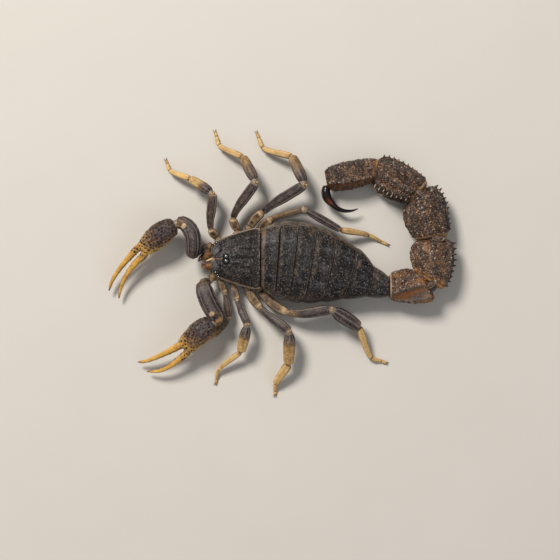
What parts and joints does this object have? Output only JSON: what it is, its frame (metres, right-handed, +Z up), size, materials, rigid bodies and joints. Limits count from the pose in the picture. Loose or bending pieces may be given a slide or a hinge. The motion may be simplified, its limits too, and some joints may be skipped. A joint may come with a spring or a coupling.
{
  "type": "desert scorpion",
  "caption": "Adult fat-tailed desert scorpion at rest on the ground, legs spread, pincers half open in front and the thick ridged tail laid in a curl at its right.",
  "frame": {"origin": "on the floor, under the middle of the animal's bounding box", "axes": "+X to the animal's own left, +Y from the head towards the tail, +Z up"},
  "size_m": [0.0669, 0.0867, 0.0101],
  "materials": {
    "back": "blue-black granular shell with a waxy sheen",
    "tail": "dark brown-grey shell, densely granular, with darker crests",
    "belly": "soft brown underside and joint skin",
    "dark": "purplish grey-brown shell with lighter keels, ochre towards its far end",
    "amber": "translucent amber-yellow shell",
    "ochre": "yellow-brown shell",
    "sting": "glossy black shell, red-brown where thin",
    "eye": "glossy black lens"
  },
  "bodies": {
    "root": {"carapace": "back", "eye_left": "eye", "chelicera_left": "ochre", "pecten_left": "ochre", "pedipalp_left_coxa": "ochre", "pedipalp_left_femur": "dark", "pedipalp_left_patella": "dark", "pedipalp_left_hand": "dark", "pedipalp_left_finger": "amber", "leg_left_1_femur": "dark", "leg_left_1_patella": "dark", "leg_left_1_tarsus": "amber", "leg_left_2_femur": "dark", "leg_left_2_patella": "dark", "leg_left_2_tarsus": "amber", "leg_left_3_femur": "dark", "leg_left_3_patella": "dark", "leg_left_3_tarsus": "amber", "leg_left_4_femur": "ochre", "leg_left_4_patella": "dark", "leg_left_4_tarsus": "amber", "eye_right": "eye", "chelicera_right": "ochre", "pecten_right": "ochre", "pedipalp_right_coxa": "ochre", "pedipalp_right_femur": "dark", "pedipalp_right_patella": "dark", "pedipalp_right_hand": "dark", "pedipalp_right_finger": "amber", "leg_right_1_femur": "dark", "leg_right_1_patella": "dark", "leg_right_1_tarsus": "amber", "leg_right_2_femur": "dark", "leg_right_2_patella": "dark", "leg_right_2_tarsus": "amber", "leg_right_3_femur": "dark", "leg_right_3_patella": "dark", "leg_right_3_tarsus": "amber", "leg_right_4_femur": "ochre", "leg_right_4_patella": "dark", "leg_right_4_tarsus": "amber", "sternum": "belly", "mesosoma_1": "back", "mesosoma_2": "back", "mesosoma_3": "back", "mesosoma_4": "back", "mesosoma_5": "back", "mesosoma_6": "back", "mesosoma_7": "back", "metasoma_1": "tail", "metasoma_2": "tail", "metasoma_3": "tail", "metasoma_4": "tail", "metasoma_5": "tail", "telson_vesicle": "sting", "telson_sting": "sting"}
  },
  "joints": []
}
